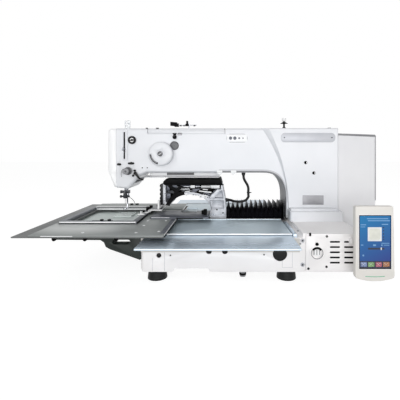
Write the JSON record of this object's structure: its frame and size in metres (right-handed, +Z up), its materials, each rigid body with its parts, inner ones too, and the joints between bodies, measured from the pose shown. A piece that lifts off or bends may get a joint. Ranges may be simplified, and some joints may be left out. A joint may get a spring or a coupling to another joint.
{
  "type": "programmable pattern sewing machine",
  "caption": "Pattern sewing machine head with an arm and pillar on a deep base, a driven clamp frame on a feed bracket with bellows, and a hinged control panel.",
  "frame": {"origin": "on the table under the middle of the machine's length and depth", "axes": "+X along the arm from the needle to the pillar and motor, +Y to the far side, +Z up"},
  "size_m": [1.006, 0.676, 0.46],
  "materials": {
    "white_paint": "satin",
    "grey_paint": "satin",
    "white_plastic": "matte",
    "polished_sheet": "brushed",
    "steel": "polished",
    "clamp_aluminium": "anodised",
    "cast_aluminium": "as cast",
    "dark_metal": "satin",
    "green_casting": "painted",
    "bronze": "machined",
    "black_plastic": "matte",
    "grey_plastic": "matte",
    "panel_plastic": "satin",
    "screen": "glossy",
    "rubber": "matte"
  },
  "bodies": {
    "machine": {"base_casting": "white_paint", "arm_casting": "white_paint", "face_cover": "white_paint", "top_cover": "white_paint", "rear_cover": "grey_paint", "main_motor": "dark_metal", "bushes": "bronze", "takeup_guard": "white_plastic", "tension_unit": "steel", "thread_guides": "black_plastic", "top_guides": "white_plastic", "top_tension": "black_plastic", "arm_knob": "black_plastic", "under_arm_cover": "white_plastic", "under_arm_lamp": "grey_plastic", "bed_arm": "green_casting", "bobbin_case": "steel", "throat_plate": "steel", "bed_plate": "polished_sheet", "bed_brackets": "green_casting", "rubber_feet": "rubber", "vent_cover": "white_paint", "drain_plug": "steel", "fixed_covers": "polished_sheet", "cross_rails": "steel", "panel_bracket": "dark_metal", "hose_upper": "rubber"},
    "main_shaft": {"main_shaft": "steel"},
    "hand_wheel": {"hand_wheel": "white_paint"},
    "winder_wheel": {"winder_wheel": "grey_plastic"},
    "takeup_lever": {"takeup_lever": "steel"},
    "needle_bar": {"needle_bar": "steel", "needle_clamp": "steel", "needle": "steel"},
    "presser": {"presser_bar": "steel", "presser_foot": "steel"},
    "tension_knob": {"tension_knob": "grey_plastic"},
    "release_lever": {"release_lever": "black_plastic"},
    "gauge_knob": {"gauge_knob": "white_plastic"},
    "shuttle_hook": {"shuttle_hook": "steel"},
    "panel": {"panel_case": "panel_plastic", "panel_screen": "screen"},
    "carriage": {"cross_blocks": "dark_metal", "carriage_beam": "dark_metal", "feed_rail": "steel", "slide_covers": "polished_sheet", "bellows": "rubber", "hose_lower": "rubber"},
    "feed": {"feed_bracket": "cast_aluminium", "feed_block": "dark_metal", "bracket_cover": "black_plastic", "feed_arm": "dark_metal", "lower_clamp_plate": "clamp_aluminium", "feed_frame": "clamp_aluminium", "air_cylinder": "steel"},
    "clamp": {"clamp_frame": "steel", "clamp_arm": "white_plastic", "clamp_slide": "black_plastic"},
    "cylinder_rod": {"cylinder_rod": "steel"},
    "bell_crank": {"bell_crank": "dark_metal"}
  },
  "joints": [
    {"name": "main_shaft_spin", "type": "hinge", "parent": "machine", "child": "main_shaft", "pos_m": [0, 0, 0.342], "axis": [1, 0, 0], "continuous": true},
    {"name": "hand_wheel_spin", "type": "hinge", "parent": "machine", "child": "hand_wheel", "pos_m": [-0.185, -0.07, 0.342], "axis": [0, 1, 0], "continuous": true},
    {"name": "winder_wheel_spin", "type": "hinge", "parent": "machine", "child": "winder_wheel", "pos_m": [-0.144, -0.055, 0.368], "axis": [0, 1, 0], "continuous": true},
    {"name": "takeup_swing", "type": "hinge", "parent": "machine", "child": "takeup_lever", "pos_m": [-0.3045, 0.034, 0.357], "axis": [1, 0, 0], "range_deg": [-26, 12]},
    {"name": "needle_bar_slide", "type": "slide", "parent": "machine", "child": "needle_bar", "axis": [0, 0, 1], "range_m": [-0.034, 0.007]},
    {"name": "presser_slide", "type": "slide", "parent": "machine", "child": "presser", "axis": [0, 0, 1], "range_m": [0, 0.02]},
    {"name": "tension_knob_spin", "type": "hinge", "parent": "machine", "child": "tension_knob", "pos_m": [-0.292, -0.083, 0.287], "axis": [0, 1, 0], "continuous": true},
    {"name": "release_lever_swing", "type": "hinge", "parent": "machine", "child": "release_lever", "pos_m": [-0.268, -0.065, 0.28], "axis": [0, 1, 0], "range_deg": [-12, 12]},
    {"name": "gauge_knob_spin", "type": "hinge", "parent": "machine", "child": "gauge_knob", "pos_m": [0.259, -0.24, 0.087], "axis": [0, 1, 0], "continuous": true},
    {"name": "hook_spin", "type": "hinge", "parent": "machine", "child": "shuttle_hook", "pos_m": [-0.3, 0, 0.097], "axis": [1, 0, 0], "continuous": true},
    {"name": "panel_tilt", "type": "hinge", "parent": "machine", "child": "panel", "pos_m": [0.357, -0.252, 0.121], "axis": [1, 0, 0], "range_deg": [-8, 8]},
    {"name": "cross_feed", "type": "slide", "parent": "machine", "child": "carriage", "axis": [0, 1, 0], "range_m": [-0.03, 0.145], "deforming": ["hose_upper"]},
    {"name": "arm_feed", "type": "slide", "parent": "carriage", "child": "feed", "axis": [1, 0, 0], "range_m": [-0.064, 0.1], "deforming": ["bellows", "hose_lower"]},
    {"name": "clamp_lift", "type": "slide", "parent": "feed", "child": "clamp", "axis": [0, 0, 1], "range_m": [0, 0.018]},
    {"name": "crank_swing", "type": "hinge", "parent": "feed", "child": "bell_crank", "pos_m": [-0.144, -0.029, 0.216], "axis": [0, 1, 0], "range_deg": [0, 43.5]},
    {"name": "rod_slide", "type": "slide", "parent": "feed", "child": "cylinder_rod", "axis": [1, 0, 0], "range_m": [0, 0.0128]}
  ],
  "couplings": [
    {"joint": "hand_wheel_spin", "follows": "main_shaft_spin", "ratio": -1},
    {"joint": "crank_swing", "follows": "clamp_lift", "rad_per_m": 41.667},
    {"joint": "rod_slide", "follows": "clamp_lift", "ratio": 0.70833}
  ]
}
